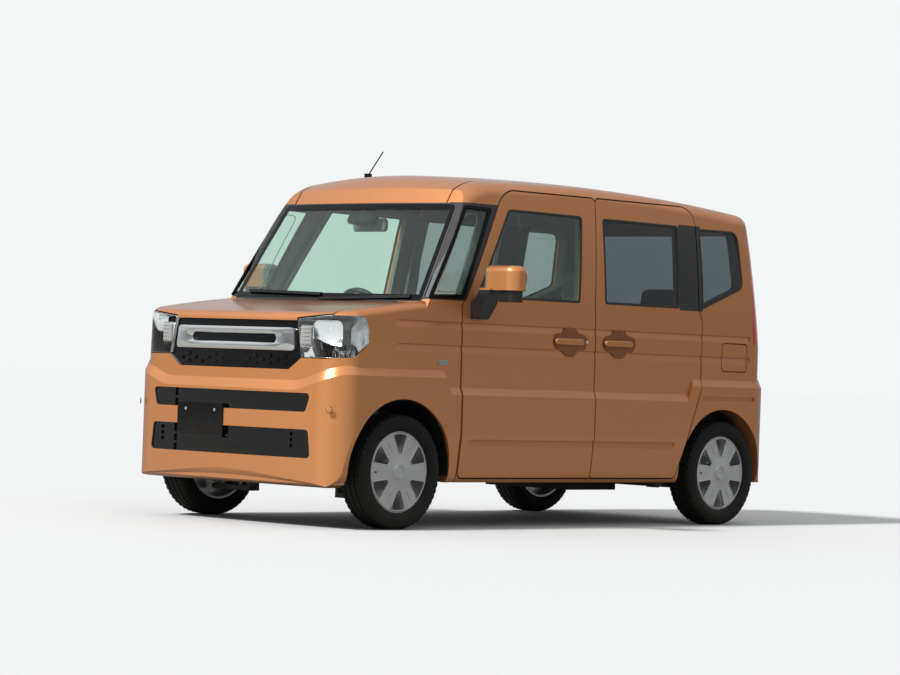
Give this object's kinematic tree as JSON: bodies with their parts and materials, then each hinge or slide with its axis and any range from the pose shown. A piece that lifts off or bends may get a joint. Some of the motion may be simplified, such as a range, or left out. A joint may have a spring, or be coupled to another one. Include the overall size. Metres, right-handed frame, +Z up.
{
  "type": "small tall wagon",
  "caption": "Tall boxy light passenger wagon with an upright tail, hinged front doors, sliding rear doors, a short bonnet and small wheels.",
  "frame": {"origin": "on the ground, on the centre line, halfway along the body's length", "axes": "+X forward, +Y to the car's left, +Z up"},
  "size_m": [3.395, 1.984, 1.9142],
  "materials": {
    "body_paint": "metallic copper orange paint",
    "dark_metal": "black underbody paint",
    "engine_metal": "cast",
    "black_plastic": "black moulded",
    "bright_trim": "polished",
    "lamp_clear": "clear lens",
    "lamp_red": "red lens",
    "tinted_glass": "light green tint",
    "privacy_glass": "dark tint",
    "seat_cloth": "grey cloth",
    "interior_plastic": "grained",
    "wheel_silver": "silver cover",
    "steel": "plain",
    "tyre_rubber": "black"
  },
  "bodies": {
    "shell": {"floor_pan": "dark_metal", "front_structure": "dark_metal", "body_side_left": "body_paint", "body_side_right": "body_paint", "roof_panel": "body_paint", "front_fenders": "body_paint", "front_bumper": "body_paint", "grille_bar": "bright_trim", "grille_inserts": "black_plastic", "headlamps": "lamp_clear", "windscreen": "tinted_glass", "fixed_side_glass": "privacy_glass", "rear_door_left": "body_paint", "rear_door_right": "body_paint", "rear_bumper": "body_paint", "tail_lamps": "lamp_red", "dashboard": "interior_plastic", "front_seats": "seat_cloth", "rear_seat": "seat_cloth", "engine_block": "engine_metal", "fuel_tank": "black_plastic", "rear_axle": "dark_metal", "front_subframe": "dark_metal", "exhaust": "steel", "wipers": "black_plastic", "antenna": "black_plastic"},
    "bonnet": {"bonnet": "body_paint"},
    "tailgate": {"tailgate": "body_paint", "tailgate_glass": "privacy_glass", "rear_wiper": "black_plastic"},
    "door_left": {"front_door_left": "body_paint", "front_door_glass_left": "tinted_glass", "mirror_left": "body_paint"},
    "door_right": {"front_door_right": "body_paint", "front_door_glass_right": "tinted_glass", "mirror_right": "body_paint"},
    "fuel_flap": {"fuel_flap": "body_paint"},
    "steering_wheel": {"steering_wheel": "black_plastic"},
    "upright_left": {"knuckle_left": "engine_metal"},
    "upright_right": {"knuckle_right": "engine_metal"},
    "road_wheel_front_left": {"wheel_front_left": "wheel_silver", "tyre_front_left": "tyre_rubber"},
    "road_wheel_front_right": {"wheel_front_right": "wheel_silver", "tyre_front_right": "tyre_rubber"},
    "road_wheel_rear_left": {"wheel_rear_left": "wheel_silver", "tyre_rear_left": "tyre_rubber"},
    "road_wheel_rear_right": {"wheel_rear_right": "wheel_silver", "tyre_rear_right": "tyre_rubber"}
  },
  "joints": [
    {"name": "bonnet_hinge", "type": "hinge", "parent": "shell", "child": "bonnet", "pos_m": [1.141, 0, 1.097], "axis": [0, -1, 0], "range_deg": [0, 50]},
    {"name": "tailgate_hinge", "type": "hinge", "parent": "shell", "child": "tailgate", "pos_m": [-1.551, 0, 1.706], "axis": [0, 1, 0], "range_deg": [0, 80]},
    {"name": "front_door_left_hinge", "type": "hinge", "parent": "shell", "child": "door_left", "pos_m": [0.755, 0.7255, 0.6], "axis": [0, 0, -1], "range_deg": [0, 65]},
    {"name": "front_door_right_hinge", "type": "hinge", "parent": "shell", "child": "door_right", "pos_m": [0.755, -0.7255, 0.6], "axis": [0, 0, 1], "range_deg": [0, 65]},
    {"name": "fuel_flap_hinge", "type": "hinge", "parent": "shell", "child": "fuel_flap", "pos_m": [-1.24, 0.724, 0.9], "axis": [0, 0, -1], "range_deg": [0, 95]},
    {"name": "left_steer", "type": "hinge", "parent": "shell", "child": "upright_left", "pos_m": [1.203, 0.586, 0.16], "axis": [-0.037, -0.1782, 0.9833], "range_deg": [-30, 30]},
    {"name": "right_steer", "type": "hinge", "parent": "shell", "child": "upright_right", "pos_m": [1.203, -0.586, 0.16], "axis": [-0.037, 0.1782, 0.9833], "range_deg": [-30, 30]},
    {"name": "steering_column", "type": "hinge", "parent": "shell", "child": "steering_wheel", "pos_m": [0.5, -0.33, 0.985], "axis": [-0.9203, 0, 0.3911], "range_deg": [-480, 480]},
    {"name": "front_left_axle", "type": "hinge", "parent": "upright_left", "child": "road_wheel_front_left", "pos_m": [1.2, 0.6475, 0.2785], "axis": [0, 1, 0], "continuous": true},
    {"name": "front_right_axle", "type": "hinge", "parent": "upright_right", "child": "road_wheel_front_right", "pos_m": [1.2, -0.6475, 0.2785], "axis": [0, 1, 0], "continuous": true},
    {"name": "rear_left_axle", "type": "hinge", "parent": "shell", "child": "road_wheel_rear_left", "pos_m": [-1.26, 0.6475, 0.2785], "axis": [0, 1, 0], "continuous": true},
    {"name": "rear_right_axle", "type": "hinge", "parent": "shell", "child": "road_wheel_rear_right", "pos_m": [-1.26, -0.6475, 0.2785], "axis": [0, 1, 0], "continuous": true}
  ],
  "couplings": [
    {"joint": "right_steer", "follows": "left_steer", "ratio": 1},
    {"joint": "steering_column", "follows": "left_steer", "ratio": 15}
  ]
}
